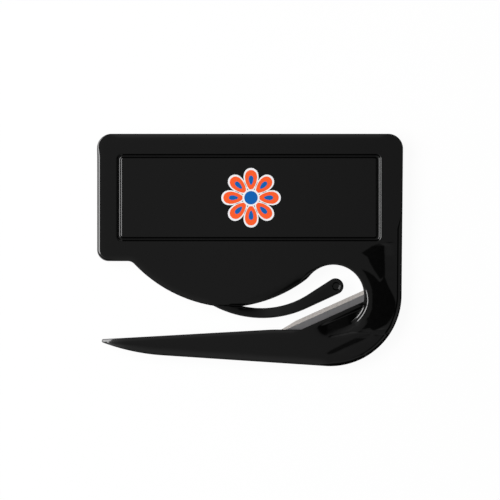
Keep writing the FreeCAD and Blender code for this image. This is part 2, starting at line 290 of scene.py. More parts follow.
# How an upper edge is made: roll radius, tilt at its rim, tilt and run of the soft shoulder before it.
SIDE_RIGHT = (0.45, 40, 0, 3.0)
SIDE_TOP = (0.35, 45, 13, 3.0)
SIDE_LEFT = (1.1, 88, 6, 3.0)
HOOK_ROLL = (2.7, 40, 0, 3.0)
UNDERSIDE = (0.3, 45, 16, 3.0)
ARM_TOP = (0.35, 45, 14, 3.0)
LIP = (0.2, 75, 0, 3.0)
THROAT_ROLL = (3.2, 16, 0, 3.0)
BLEND_ROLL = (3.0, 45, 0, 3.0)
BELLY_ROLL = (0.5, 50, 9, 3.0)
FINGER_UPPER = (0.4, 45, 0, 1.0)
FINGER_CREST = (0.4, 45, 9, 1.6)
FINGER_HEAD = (0.9, 25, 0, 1.0)
FINGER_LOWER = (2.2, 20, 0, 1.0)
CORNER_TL = (0.5, 45, 5, 3.0)
# Each stretch: where it ends, its edge, an arc's centre, and False where the arc turns the other way.
STRETCHES = [
    ((corner_tr[0], TOP), SIDE_TOP), (side_top, SIDE_RIGHT, corner_tr),
    (side_middle, SIDE_RIGHT), (side_end, HOOK_ROLL), (under_start, HOOK_ROLL, hook),
    (tip_start, UNDERSIDE), (tip_end, UNDERSIDE, tip_centre), (nose_top, ARM_TOP, nose),
    (knee_start, ARM_TOP), (knee_end, ARM_TOP, knee_centre), (lip_left, ARM_TOP), (lip_right, LIP),
    (blend_start, THROAT_ROLL, throat, False), (blend_end, BLEND_ROLL, blend),
    (belly_right_end, BELLY_ROLL, belly_right), (root_right, BELLY_ROLL, belly),
    (top_bend, FINGER_UPPER, top_centre, False), (top_tangent, FINGER_CREST),
    (low_tangent, FINGER_HEAD, head), (low_bend, FINGER_LOWER), (root_left, FINGER_LOWER, low_centre),
    (belly_left_end, BELLY_ROLL, belly), (fillet_low, BELLY_ROLL, belly_left),
    ((fillet_centre[0], ledge), BELLY_ROLL, fillet_centre, False), ((corner_bl[0], ledge), BELLY_ROLL),
    ((LEFT, corner_bl[1]), SIDE_LEFT, corner_bl), ((LEFT, corner_tl[1]), SIDE_LEFT),
    ((corner_tl[0], TOP), CORNER_TL, corner_tl),
]
OUTLINE = [(before[0], end, *arc)
           for before, (end, _, *arc) in zip(STRETCHES[-1:] + STRETCHES, STRETCHES)]
FINGER_STRETCHES = slice(16, 21)
OUTLINE_STEP = 0.4
FINEST_TURN = 7.0
SHARP_TURN = 20.0
EDGE_BLEND = 2.5
ROWS_AT_ONCE = 500


def sample(start, end, centre=None, clockwise=True):
    """Points of one stretch, its end left out."""
    if not centre:
        start, end = np.array(start), np.array(end)
        count = max(1, math.ceil(math.dist(start, end) / OUTLINE_STEP))
        return start + (end - start) * (np.arange(count) / count)[:, None]
    radius = math.dist(centre, start)
    first = bearing(centre, start)
    turn = (bearing(centre, end) - first) % 360
    if clockwise:
        turn -= 360
    length = radius * math.radians(abs(turn))
    count = max(2, math.ceil(max(abs(turn) / FINEST_TURN, length / OUTLINE_STEP)))
    return ring(centre, radius, np.radians(first + turn * np.arange(count) / count))


def outline_points():
    """The closed outline: points, outward directions, sharp corners and the edge rounding at each."""
    parts = [sample(*stretch) for stretch in OUTLINE]
    points = np.concatenate(parts)
    edges = []
    for part, (_, roll, *_) in zip(parts, STRETCHES):
        radius, rim_tilt, shoulder_tilt, run_in = roll
        width = radius * math.sin(math.radians(rim_tilt))
        shoulder = math.tan(math.radians(shoulder_tilt))
        edges.append(np.tile((radius, width, shoulder, run_in), (len(part), 1)))
    edge = np.concatenate(edges)
    before = unit(points - np.roll(points, 1, axis=0))
    after = unit(np.roll(points, -1, axis=0) - points)
    sharp = (before * after).sum(axis=1) < math.cos(math.radians(SHARP_TURN))
    blended = edge.copy()
    steps = int(EDGE_BLEND / OUTLINE_STEP)
    for shift in range(1, steps + 1):
        blended += np.roll(edge, shift, axis=0) + np.roll(edge, -shift, axis=0)
    blended /= 2 * steps + 1
    thin = edge[:, 0] == LIP[0]
    blended[thin] = edge[thin]
    return points, left_of(unit(before + after)), left_of(after), sharp, blended


RIM, RIM_OUT, RIM_SIDE, RIM_SHARP, RIM_EDGE = outline_points()


def nearest(points):
    """Distance to the outline, direction out to it, and the edge rounding there."""
    ends = np.roll(RIM, -1, axis=0)
    step = ends - RIM
    length2 = (step ** 2).sum(axis=1)
    distance = np.empty(len(points))
    out = np.empty((len(points), 2))
    edge = np.empty((len(points), 4))
    next_edge = np.roll(RIM_EDGE, -1, axis=0)
    for first in range(0, len(points), ROWS_AT_ONCE):
        chunk = slice(first, first + ROWS_AT_ONCE)
        some = points[chunk]
        gap = some[:, None, :] - RIM[None]
        t = np.clip((gap * step).sum(axis=2) / length2, 0, 1)
        foot = RIM[None] + t[:, :, None] * step[None]
        reach = np.linalg.norm(some[:, None, :] - foot, axis=2)
        best = reach.argmin(axis=1)
        rows = np.arange(len(some))
        distance[chunk] = reach[rows, best]
        way = foot[rows, best] - some
        size = np.maximum(reach[rows, best], 1e-9)[:, None]
        on_rim = RIM_OUT[np.where(t[rows, best] < 0.5, best, (best + 1) % len(RIM))]
        out[chunk] = np.where(size > 1e-4, way / size, on_rim)
        share = t[rows, best][:, None]
        edge[chunk] = RIM_EDGE[best] * (1 - share) + next_edge[best] * share
    return distance, out, edge


def inside(points, loop=RIM):
    """Whether each point lies within a closed loop."""
    x1, y1 = loop[:, 0], loop[:, 1]
    x2, y2 = np.roll(x1, -1), np.roll(y1, -1)
    result = np.zeros(len(points), bool)
    for first in range(0, len(points), ROWS_AT_ONCE):
        chunk = slice(first, first + ROWS_AT_ONCE)
        x = points[chunk, 0][:, None]
        y = points[chunk, 1][:, None]
        crosses = (y1 > y) != (y2 > y)
        with np.errstate(divide="ignore", invalid="ignore"):
            where = x < x1 + (y - y1) * (x2 - x1) / (y2 - y1)
        result[chunk] = (crosses & where).sum(axis=1) % 2 == 1
    return result


# ======== heights of the show face, measured down from it ========
def sag(radius, along):
    """How far a circle has fallen away from its top."""
    return radius - np.sqrt(np.maximum(radius ** 2 - along ** 2, 0))


def wall_drop(run_in, depth, angle, lip_round, foot_round):
    """Drop of a wall, by distance from its upper edge: rounded lip, straight slope, rounded foot."""
    turn = math.radians(angle)
    lip_run = lip_round * math.sin(turn)
    foot_run = foot_round * math.sin(turn)
    foot_drop = foot_round * (1 - math.cos(turn))
    slope_run = (depth - lip_round * (1 - math.cos(turn)) - foot_drop) / math.tan(turn)
    total = lip_run + slope_run + foot_run
    run_in = np.clip(run_in, 0, total)
    slope_part = np.clip(run_in - lip_run, 0, slope_run) * math.tan(turn)
    foot_part = foot_drop - sag(foot_round, np.minimum(total - run_in, foot_run))
    return sag(lip_round, np.minimum(run_in, lip_run)) + slope_part + foot_part, total


def box_distance(points, x_low, x_high, y_low, y_high, corner):
    """Distance inside a rounded rectangle, negative outside it."""
    half = np.array(((x_high - x_low) / 2, (y_high - y_low) / 2))
    centre = np.array(((x_high + x_low) / 2, (y_high + y_low) / 2))
    q = np.abs(points - centre) - half + corner
    outside = np.linalg.norm(np.maximum(q, 0), axis=1) + np.minimum(q.max(axis=1), 0)
    return corner - outside


GROOVE = (LEFT + groove_from_left, RIGHT - groove_from_right,
          ledge + groove_from_ledge, TOP - groove_from_top)
PANEL = (GROOVE[0] + groove_width, GROOVE[1] - groove_width,
         GROOVE[2] + groove_width_along, GROOVE[3] - groove_width_along)
GROOVE_SHAPE = (groove_depth, groove_wall_angle, groove_lip_round, groove_foot_round)
GROOVE_WALL = float(wall_drop(np.zeros(1), *GROOVE_SHAPE)[1])


def off_walls(points):
    """Distance into the groove from its outer edge, and from the panel's edge."""
    return (box_distance(points, *GROOVE, groove_outer_corner),
            -box_distance(points, *PANEL, groove_inner_corner))


def groove_drop(points):
    in_groove, off_panel = off_walls(points)
    deep = np.minimum(wall_drop(in_groove, *GROOVE_SHAPE)[0], wall_drop(off_panel, *GROOVE_SHAPE)[0])
    return np.maximum(deep, np.where(off_panel < 0, panel_sink, 0))


def taper_drop(points):
    """Curve that thins the arm toward its point."""
    radius = (tip_taper_length ** 2 + tip_taper_drop ** 2) / (2 * tip_taper_drop)
    reach = np.clip(nose[0] + tip_taper_length - points[:, 0], 0, 2 * tip_taper_length)
    return np.where(points[:, 1] < shelf, sag(radius, reach), 0)


# The hook's face steps down toward its outer band in gently sloping fields; each is given by its corners.
field_slope = 0.034
FIELDS = [
    [(46.1, 1.6), (44.3, 2.2), (41.8, 1.4), (38.1, -1.0), (40.3, -2.5), (40.9, -4.1), (42.6, -7.1),
     (44.6, -10.1), (46.4, -8.9), (46.3, -4.0)],
    [(38.0, -6.3), (40.9, -7.6), (42.6, -8.8), (44.5, -11.0), (46.2, -8.9), (47.4, -12.3), (49.3, -15.8),
     (50.0, -18.0), (49.8, -20.8), (48.6, -23.4), (46.8, -25.6), (43.6, -27.3), (42.3, -27.7), (41.0, -26.8),
     (37.0, -27.6), (34.3, -28.4), (33.4, -28.2), (35.0, -27.0),
     (38.3, -24.6), (40.6, -22.9), (41.7, -20.2), (41.9, -16.1), (41.7, -13.4), (40.8, -10.8), (39.4, -8.2)],
    [(26.0, -35.4), (27.8, -34.2), (31.5, -32.3), (36.0, -30.2), (41.2, -28.8), (41.6, -29.2), (38.2, -31.2),
     (32.6, -33.6), (29.4, -35.2), (27.0, -35.9)],
]
relief_step = 0.1
relief_left = 8.0
relief_top = 6.0
relief_margin = 1.0
crease_x = 46.2
band_blur = 1.6
band_settle = 3.5
relief_blur = 0.14
score_line = ((26.6, -29.9), (35.0, -28.1))
score_depth = 0.06
score_width = 0.16
score_fade = 1.5
# The scoop lies round the throat's centre: radii from there, and turns in degrees below level. A pair is
# where a change begins and how far it takes.
scoop_depth_right = 0.64
scoop_depth_left = 0.05
scoop_depth_middle = 0.53
scoop_left = 21.6
scoop_right = 36.0
scoop_start_run = 5.0
scoop_step_run = 0.42
scoop_step_share = 0.22
scoop_riser_run = 0.1
scoop_riser_in = 0.25
scoop_inner = 11.08
scoop_outer = 12.05
scoop_soft_radius = 15.2
scoop_soft_run = 3.8
scoop_soft_turn = (34, 24)
scoop_fall_turn = 20
scoop_fall = (6.5, 4.2)
scoop_fall_end = (42, 20)
scoop_top = (-14, 6)
scoop_back_turn = -150
rim_pull = 0.8
rim_pull_turn = (-18, 34)
rim_start = (-22, 10)
rim_finish = (-15, 8)
lip_strip = 0.95
lip_slope_run = 1.1


def rise(value, start=0.0, run_on=1.0):
    """Smooth step from 0 at a start to 1 a run further on."""
    value = np.clip((value - start) / run_on, 0, 1)
    return value * value * (3 - 2 * value)


def blur_weights(width):
    """How many grid steps a blur reaches each way, and its weights."""
    spread = int(4 * width / relief_step)
    weights = np.exp(-0.5 * (np.arange(-spread, spread + 1) * relief_step / width) ** 2)
    return spread, weights / weights.sum()


def hook_relief():
    """Drop of the hook's face on a fine grid: its sloping fields and the score below them."""
    xs = np.arange(relief_left, RIGHT + relief_margin, relief_step)
    ys = np.arange(BOTTOM - relief_margin, relief_top, relief_step)
    spots = np.stack(np.meshgrid(xs, ys), axis=-1)
    flat = spots.reshape(-1, 2)
    within = np.zeros(len(flat), bool)
    for corners in FIELDS:
        within |= inside(flat, np.array(corners))
    within = within.reshape(len(ys), len(xs))
    drop = np.cumsum(within, axis=1) * relief_step * field_slope
    last = within.shape[1] - 1 - within[:, ::-1].argmax(axis=1)
    last[~within.any(axis=1)] = int((crease_x - xs[0]) / relief_step)
    level = drop[:, -1]
    spread, weights = blur_weights(band_blur)
    calm = np.convolve(np.pad(level, spread, mode="edge"), weights, mode="valid")
    beyond = (np.arange(len(xs))[None] - last[:, None]) * relief_step / band_settle
    drop += (calm - level)[:, None] * rise(beyond)
    start, finish = np.array(score_line)
    length = np.linalg.norm(finish - start)
    way = (finish - start) / length
    off = spots - start
    on_line = rise((off @ way) / score_fade) * rise((length - off @ way) / score_fade)
    beside = off[..., 0] * way[1] - off[..., 1] * way[0]
    drop += score_depth * on_line * np.exp(-(beside / score_width) ** 2)
    spread, weights = blur_weights(relief_blur)
    for axis in (0, 1):
        padded = np.pad(drop, [(spread, spread) if k == axis else (0, 0) for k in (0, 1)], mode="edge")
        drop = sum(weight * np.take(padded, range(k, k + drop.shape[axis]), axis=axis)
                   for k, weight in enumerate(weights))
    return xs[0], ys[0], drop


RELIEF_X, RELIEF_Y, RELIEF = hook_relief()


def scoop_drop(points):
    """Scoop beside the blade: a floor falling to the right, and a stepped wall that softens below."""
    away = points - THROAT
    reach = np.hypot(away[:, 0], away[:, 1])
    turn = np.degrees(np.arctan2(away[:, 1], away[:, 0]))
    below_lip = -(away @ ACROSS) - lip_below_throat
    along = points[:, 0]
    floor = scoop_depth_left + (scoop_depth_middle - scoop_depth_left) * np.clip(
        (along - scoop_left) / (scoop_right - scoop_left), 0, 1)
    toward_pocket = reach * np.cos(np.radians(turn + scoop_fall_turn))
    floor += (scoop_depth_right - scoop_depth_middle) * rise(toward_pocket, *scoop_fall) \
        * (1 - rise(-turn, *scoop_fall_end))
    soft = rise(-turn, *scoop_soft_turn)
    wall = 0
    for radius, run_out, share in (
            (scoop_inner - scoop_riser_in, scoop_riser_run, 1 - 2 * scoop_step_share),
            (scoop_inner, scoop_step_run, scoop_step_share),
            (scoop_outer, scoop_step_run, scoop_step_share)):
        wall = wall + share * rise((radius + run_out / 2 - reach) / run_out)
    wall = wall * (1 - soft) + soft * rise((scoop_soft_radius - reach) / scoop_soft_run)
    lip_side = rise(below_lip, lip_strip, lip_slope_run)
    scoop = floor * wall * lip_side * rise(along, scoop_left, scoop_start_run) * (turn > scoop_back_turn) \
        * (1 - rise(turn, *scoop_top))
    rim_radius = scoop_outer - rim_pull * rise(turn, *rim_pull_turn)
    rim = scoop_depth_right * scoop_step_share \
        * rise((rim_radius + scoop_step_run / 2 - reach) / scoop_step_run)
    return np.maximum(scoop, rim * rise(turn, *rim_start) * rise(-turn, *rim_finish))


def relief_drop(points):
    """The hook's relief between its grid points."""
    column = np.clip((points[:, 0] - RELIEF_X) / relief_step, 0, RELIEF.shape[1] - 1.001)
    row = np.clip((points[:, 1] - RELIEF_Y) / relief_step, 0, RELIEF.shape[0] - 1.001)
    c, r = column.astype(int), row.astype(int)
    u, v = column - c, row - r
    value = ((RELIEF[r, c] * (1 - u) + RELIEF[r, c + 1] * u) * (1 - v)
             + (RELIEF[r + 1, c] * (1 - u) + RELIEF[r + 1, c + 1] * u) * v)
    return np.where((points[:, 0] > RELIEF_X) & (points[:, 1] < ledge + groove_from_ledge), value, 0)


def finger_plane(points):
    """Drop of the finger's face: banked along its curved part, and bending down a little toward its head."""
    inward = low_radius - np.hypot(points[:, 0] - low_centre[0], points[:, 1] - low_centre[1])
    along = points[:, 0]
    bank = math.tan(math.radians(finger_bank)) * (1 - rise(along, finger_bank_from, finger_bank_run)) \
        * rise((along - root_right[0]) / finger_root_run + 0.5)
    nod = finger_nod * rise(along, finger_nod_from, finger_nod_run)
    return np.clip(inward, 0, finger_bank_reach) * bank + nod


def notch_drop(points):
    """Wedge-shaped notch between the belly and the finger's root."""
    way = (np.array(root_right) - np.array(root_left)) / math.dist(root_left, root_right)
    off = points - np.array(root_left)
    along = off @ way
    across = np.abs(off[:, 1] * way[0] - off[:, 0] * way[1] - notch_above)
    grown = rise(along / notch_run) * rise((notch_run + notch_tail - along) / notch_fade)
    return notch_depth * grown * rise(1 - across / np.maximum(notch_half_width * grown, notch_least))


def dimple_drop(points):
    reach = np.hypot(points[:, 0] - dimple[0], points[:, 1] - dimple[1])
    return dimple_depth * rise((dimple_radius - reach) / dimple_wall)


def base_drop(points, on_finger, front):
    """Drop of the face without its outer rounding."""
    body = groove_drop(points) if front else 0
    body = body + taper_drop(points) + relief_drop(points) + scoop_drop(points)
    finger = finger_plane(points)
    if front:
        finger = finger + dimple_drop(points)
    return np.where(on_finger, finger, body) + notch_drop(points)


def edge_shape(distance, edge):
    """Drop of a rolled edge and its soft shoulder, the roll's sine and cosine, and the shoulder's slope."""
    radius, width, shoulder, run_in = edge.T
    sine = np.clip((width - distance) / radius, 0, 1)
    cosine = np.sqrt(1 - sine ** 2)
    left_over = np.clip(run_in - distance, 0, None)
    return radius * (1 - cosine) + shoulder * left_over ** 2 / (2 * run_in), sine, cosine, \
        shoulder * left_over / run_in


# ======== the face's flat mesh: rings along the edge, feature lines and a filling grid ========
RIM_SHARES = (0.08, 0.2, 0.36, 0.55, 0.77, 1)
GROOVE_SHARES = (0, 0.3, 0.55, 0.8, 1)
DIMPLE_SHARES = (0, 0.25, 0.5, 0.75, 1)
dimple_points = 40
corner_points = 9
loop_step = 1.5
chord_points = 30
# Rings of points beside the scoop's wall, from its inner radius, close together where it steps.
WALL_RINGS = (-0.36, -0.3, -0.27, -0.24, -0.21, -0.15, -0.07, 0.0, 0.07, 0.14, 0.21, 0.35, 0.5, 0.62, 0.76,
              0.83, 0.9, 0.97, 1.04, 1.11, 1.18, 1.3)
wall_turn_low = -64
wall_turn_high = 18
wall_turn_step = 1.5
wall_clear = 0.9
hook_grid = 0.4
hook_grid_left = 9
finger_grid = 0.45
finger_grid_past = (2, 4, 4, 3)
body_grid = 1.6
# How far the filling points keep from the edge and from feature lines.
rim_share_gap = 0.97
rim_gap = 0.15
pocket_rim_gap = 0.3
groove_clear = 0.1
dimple_clear = 0.08


def offset_box(box, by):
    return (box[0] + by, box[1] - by, box[2] + by, box[3] - by)


def box_loop(box, corner):
    """Points round a rounded rectangle."""
    x_low, x_high, y_low, y_high = box
    loop = []
    for cx, cy, start in ((x_high - corner, y_high - corner, 0), (x_low + corner, y_high - corner, 90),
                          (x_low + corner, y_low + corner, 180), (x_high - corner, y_low + corner, 270)):
        loop += [polar((cx, cy), corner, start + turn) for turn in np.linspace(0, 90, corner_points)]
    filled = []
    for a, b in zip(loop, loop[1:] + loop[:1]):
        count = max(1, math.ceil(math.dist(a, b) / loop_step))
        filled += [(a[0] + (b[0] - a[0]) * k / count, a[1] + (b[1] - a[1]) * k / count)
                   for k in range(count)]
    return np.array(filled)


def grid(x_low, x_high, y_low, y_high, step):
    rows = np.arange(y_low, y_high, step * math.sqrt(3) / 2)
    columns = np.arange(x_low, x_high, step)
    return np.concatenate([np.column_stack((columns + (row % 2) * step / 2, np.full(len(columns), y)))
                           for row, y in enumerate(rows)])


def pocket_chains():
    """Open runs of points round the blade's pocket, inside and outside its wall, kept off the outline."""
    chains = []
    for by in (blade_clearance, blade_clearance + pocket_wall):
        corners = [from_throat(along, across) for along, across in
                   ((blade_left - by, spine_across - by), (blade_right + by, spine_across - by),
                    (blade_right + by, edge_across + by), (blade_left - by, edge_across + by))]
        loop = np.concatenate([sample(a, b) for a, b in zip(corners, corners[1:] + corners[:1])])
        keep = inside(loop)
        keep[keep] = nearest(loop[keep])[0] > pocket_rim_gap
        chains.append((loop, keep))
    return chains


def off_forms(points):
    """Whether each point keeps off the walls of the groove and the dimple."""
    in_groove, off_panel = off_walls(points)
    outside = np.minimum(in_groove, off_panel) < -groove_clear
    on_floor = np.minimum(in_groove, off_panel) > GROOVE_WALL + groove_clear / 2
    off_hole = np.hypot(points[:, 0] - dimple[0], points[:, 1] - dimple[1])
    in_hole = off_hole < dimple_radius - dimple_wall - dimple_clear
    return (outside | on_floor) & (in_hole | (off_hole > dimple_radius + dimple_clear))


def face_mesh(front):
    """Triangles of the face in plan."""
    loops = [RIM]
    loose = []
    for share in RIM_SHARES:
        in_by = RIM_EDGE[:, 1] * share
        loose.append((RIM - RIM_OUT * in_by[:, None], in_by * rim_share_gap))
    if front:
        for share in GROOVE_SHARES:
            by = GROOVE_WALL * share
            loops.append(box_loop(offset_box(GROOVE, by), groove_outer_corner - by))
            loops.append(box_loop(offset_box(PANEL, -by), groove_inner_corner + by))
        round_turns = 2 * np.pi * np.arange(dimple_points) / dimple_points
        for share in DIMPLE_SHARES:
            loops.append(ring(dimple, dimple_radius - dimple_wall * share, round_turns))
    fine = grid(throat[0] - hook_grid_left, RIGHT, BOTTOM, ledge + groove_from_ledge, hook_grid)
    coarse = grid(LEFT, RIGHT, BOTTOM, TOP, body_grid)
    past_root, past_head, below, above = finger_grid_past
    finger_fine = grid(root_left[0] - past_root, head[0] + past_head, low_bend[1] - below,
                       root_left[1] + above, finger_grid)
    wall_turns = np.radians(np.arange(wall_turn_low, wall_turn_high, wall_turn_step))
    walls = np.concatenate([ring(throat, radius, wall_turns)
                            for radius in scoop_inner + np.array(WALL_RINGS)])
    off_wall = np.abs(np.hypot(*(fine - THROAT).T) - (scoop_inner + scoop_outer) / 2) > wall_clear
    turns = np.degrees(np.arctan2(fine[:, 1] - throat[1], fine[:, 0] - throat[0]))
    middle_turn = (wall_turn_low + wall_turn_high) / 2
    in_turn = np.abs(turns - middle_turn) < (wall_turn_high - wall_turn_low) / 2 + 1
    for some in (fine[off_wall | ~in_turn], coarse, finger_fine, walls):
        loose.append((some, None))
    seeds = [np.concatenate(loops)]
    for some, need in loose:
        keep = inside(some)
        some = some[keep]
        distance, _, edge = nearest(some)
        need = edge[:, 1] + rim_gap if need is None else need[keep] - 1e-6
        some = some[distance > need]
        if front:
            some = some[off_forms(some)]
        seeds.append(some[np.abs(off_blade(some) - blade_clearance) > 2 * pocket_wall])
    chord = np.linspace(root_left, root_right, chord_points)[1:-1]
    seeds.append(chord)
    points = np.concatenate(seeds)
    edges = []
    first = 0
    for loop in loops:
        count = len(loop)
        edges += [(first + k, first + (k + 1) % count) for k in range(count)]
        first += count
    chord_first = len(points) - len(chord)
    edges += [(chord_first + k, chord_first + k + 1) for k in range(len(chord) - 1)]
    for loop, keep in pocket_chains():
        place = len(points) + np.cumsum(keep) - 1
        count = len(loop)
        edges += [(int(place[k]), int(place[(k + 1) % count])) for k in range(count)
                  if keep[k] and keep[(k + 1) % count]]
        points = np.concatenate((points, loop[keep]))
    verts, _, faces, made_from, _, _ = delaunay_2d_cdt([Vector(p) for p in points], edges, [], 0, 1e-6)
    verts = np.array([tuple(v) for v in verts])
    rim_order = np.full(len(RIM), -1)
    for index, sources in enumerate(made_from):
        for source in sources:
            if source < len(RIM):
                rim_order[source] = index
    verts[rim_order] = RIM
    faces = np.array([f for f in faces if len(f) == 3])
    middle = verts[faces].mean(axis=1)
    faces = faces[inside(middle)]
    corners = verts[faces]
    first_side = corners[:, 1] - corners[:, 0]
    other_side = corners[:, 2] - corners[:, 0]
    turn = first_side[:, 0] * other_side[:, 1] - first_side[:, 1] * other_side[:, 0]
    faces[turn < 0] = faces[turn < 0][:, ::-1]
    return verts, faces[np.abs(turn) > 1e-9], rim_order


# How far inside its triangle a corner's normal is taken, as a share, and over what length.
corner_inset = 0.08
slope_reach = 0.004
FINGER = np.concatenate([sample(*stretch) for stretch in OUTLINE[FINGER_STRETCHES]]
                        + [np.array([root_left])])


def shell_piece(name, front):
    """One moulded half as a closed mesh: show face, walls and parting face."""
    verts, faces, rim_order = face_mesh(front)
    distance, out, edge = nearest(verts)
    middle = verts[faces].mean(axis=1)
    in_finger = inside(middle, FINGER)
    on_finger = np.zeros(len(verts), bool)
    on_finger[faces[in_finger].reshape(-1)] = True
    drop = base_drop(verts, on_finger, front) + edge_shape(distance, edge)[0]

    # Each corner's normal is taken a little inside its own triangle, so that folds stay crisp.
    corners = verts[faces]
    spots = (corners + (middle[:, None, :] - corners) * corner_inset).reshape(-1, 2)
    index = faces.reshape(-1)
    finger_spots = np.repeat(in_finger, 3)
    sine, cosine, shoulder = edge_shape(distance[index], edge[index])[1:]
    gradient = np.empty((len(spots), 2))
    for axis, shift in enumerate(np.eye(2) * slope_reach):
        ahead = base_drop(spots + shift, finger_spots, front)
        behind = base_drop(spots - shift, finger_spots, front)
        gradient[:, axis] = (ahead - behind) / (2 * slope_reach)
    slope = gradient * cosine[:, None] + out[index] * (sine + shoulder * cosine)[:, None]
    normal = unit(np.concatenate((slope, cosine[:, None]), axis=1))
    made = list(zip(faces.tolist(), normal.reshape(-1, 3, 3)))

    count = len(verts)
    top = np.column_stack((verts, FACE - PARTING - drop))
    away = off_blade(verts)
    away[rim_order] -= OUTLINE_STEP
    in_pocket = away < blade_clearance + pocket_wall / 2
    bottom = np.column_stack((verts, np.where(in_pocket, blade_thickness / 2 + blade_clearance, 0)))
    bottom[rim_order, :2] -= RIM_OUT * seam_chamfer
    seam = np.column_stack((RIM, bottom[rim_order, 2] + seam_chamfer))
    low = bottom[faces[:, ::-1]]
    under = unit(np.cross(low[:, 1] - low[:, 0], low[:, 2] - low[:, 0]))
    made += [(face, [way] * 3) for face, way in zip((faces[:, ::-1] + count).tolist(), under)]

    total = len(RIM)
    seam_first = 2 * count
    slant = 0.707
    for k in range(total):
        nxt = (k + 1) % total
        first_normal = RIM_SIDE[k] if RIM_SHARP[k] else RIM_OUT[k]
        next_normal = RIM_SIDE[k] if RIM_SHARP[nxt] else RIM_OUT[nxt]
        made.append(((rim_order[k], rim_order[nxt], seam_first + nxt, seam_first + k),
                     [(*n, 0) for n in (first_normal, next_normal, next_normal, first_normal)]))
        made.append(((seam_first + k, seam_first + nxt, count + rim_order[nxt], count + rim_order[k]),
                     [(n[0] * slant, n[1] * slant, -slant)
                      for n in (first_normal, next_normal, next_normal, first_normal)]))
    all_verts = np.concatenate((top, bottom, seam))
    if not front:
        all_verts[:, 2] *= -1
        made = [(face[::-1], np.array(normals)[::-1] * (1, 1, -1)) for face, normals in made]
    all_verts[:, 2] += PARTING
    return mesh_piece(name, all_verts, [face for face, _ in made],
                      normals=np.concatenate([normals for _, normals in made]))


def link_object(name, data):
    made = bpy.data.objects.new(name, data)
    bpy.context.collection.objects.link(made)
    return made


def mesh_piece(name, verts, faces, smooth=True, normals=None):
    mesh = bpy.data.meshes.new(name)
    mesh.from_pydata([tuple(v) for v in np.asarray(verts) * MM], [], faces)
    mesh.polygons.foreach_set("use_smooth", [smooth] * len(mesh.polygons))
    if normals is not None:
        mesh.normals_split_custom_set([tuple(n) for n in normals])
    mesh.update()
    return link_object(name, mesh)


# ======== materials ========
def sRGB(text):
    """Linear colour from a hex value."""
    parts = [int(text[k:k + 2], 16) / 255 for k in (1, 3, 5)]
    return tuple(v / 12.92 if v <= 0.04045 else ((v + 0.055) / 1.055) ** 2.4 for v in parts) + (1.0,)


def add(tree, kind, links=None, **settings):
    """Adds a node. Settings name its properties or sockets; links say what each socket takes: a node's first
    output, another socket or a value."""
    node = tree.nodes.new(kind)
    for key, value in settings.items():
        name = key.replace("_", " ")
        if hasattr(node, key):
            setattr(node, key, value)
        else:
            next(s for s in node.inputs if s.name.lower() == name.lower()).default_value = value
    for key, source in (links or {}).items():
        target = node.inputs[key] if isinstance(key, int) else next(s for s in node.inputs if s.name == key)
        if isinstance(source, bpy.types.Node):
            source = source.outputs[0]
        if isinstance(source, bpy.types.NodeSocket):
            tree.links.new(source, target)
        else:
            target.default_value = source
    return node


def new_material(name):
    material = bpy.data.materials.new(name)
    material.use_nodes = True
    material.node_tree.nodes.clear()
    return material, material.node_tree


def per(size):
    """Pattern scale for features of a size in millimetres."""
    return 1 / (size * MM)


sink_wave = 17.0
wiping_mark = 1.1
grinding_pitch = 0.25
grinding_length = 8.0
grinding_spread = 0.06
ink_grain = 0.33


def black_polystyrene():
    """High-impact polystyrene off a polished mould: near-black body, sharp reflections that bend a little
    where the wall has cooled unevenly, and a gloss slightly dulled in patches by wiping."""
    material, tree = new_material("black_high_impact_polystyrene")
    place = add(tree, "ShaderNodeTexCoord").outputs["Object"]
    wave = add(tree, "ShaderNodeTexNoise", {"Vector": place}, Scale=per(sink_wave), Detail=1.0)
    bump = add(tree, "ShaderNodeBump", {"Height": wave}, Strength=0.02, Distance=0.3 * MM)
    wear = add(tree, "ShaderNodeTexNoise", {"Vector": place}, Scale=per(wiping_mark), Detail=3.0)
    gloss = add(tree, "ShaderNodeMapRange", {"Value": wear}, To_Min=0.05, To_Max=0.11)
    shader = add(tree, "ShaderNodeBsdfPrincipled", {"Normal": bump, "Roughness": gloss},
                 Base_Color=sRGB("#030303"), IOR=1.59)
    add(tree, "ShaderNodeOutputMaterial", {"Surface": shader})
    return material


def ground_steel(name, colour, roughness):
    """Hardened carbon steel, ground across its edge: pale grey, with lines that draw reflections out into
    soft streaks. Real grinding lines are some 0.01 mm apart, too fine to show, and are drawn coarse."""
    material, tree = new_material(name)
    place = add(tree, "ShaderNodeTexCoord").outputs["Object"]
    turn = add(tree, "ShaderNodeMapping", {"Vector": place}, Rotation=(0, 0, -lip_turn),
               Scale=(per(grinding_pitch), per(grinding_length), per(grinding_length)))
    lines = add(tree, "ShaderNodeTexNoise", {"Vector": turn}, Scale=1.0, Detail=2.0)
    bump = add(tree, "ShaderNodeBump", {"Height": lines}, Strength=0.15, Distance=0.02 * MM)
    gloss = add(tree, "ShaderNodeMapRange", {"Value": lines},
                To_Min=roughness - grinding_spread, To_Max=roughness + grinding_spread)
    shader = add(tree, "ShaderNodeBsdfPrincipled", {"Normal": bump, "Roughness": gloss},
                 Base_Color=sRGB(colour), Metallic=1.0)
    add(tree, "ShaderNodeOutputMaterial", {"Surface": shader})
    return material


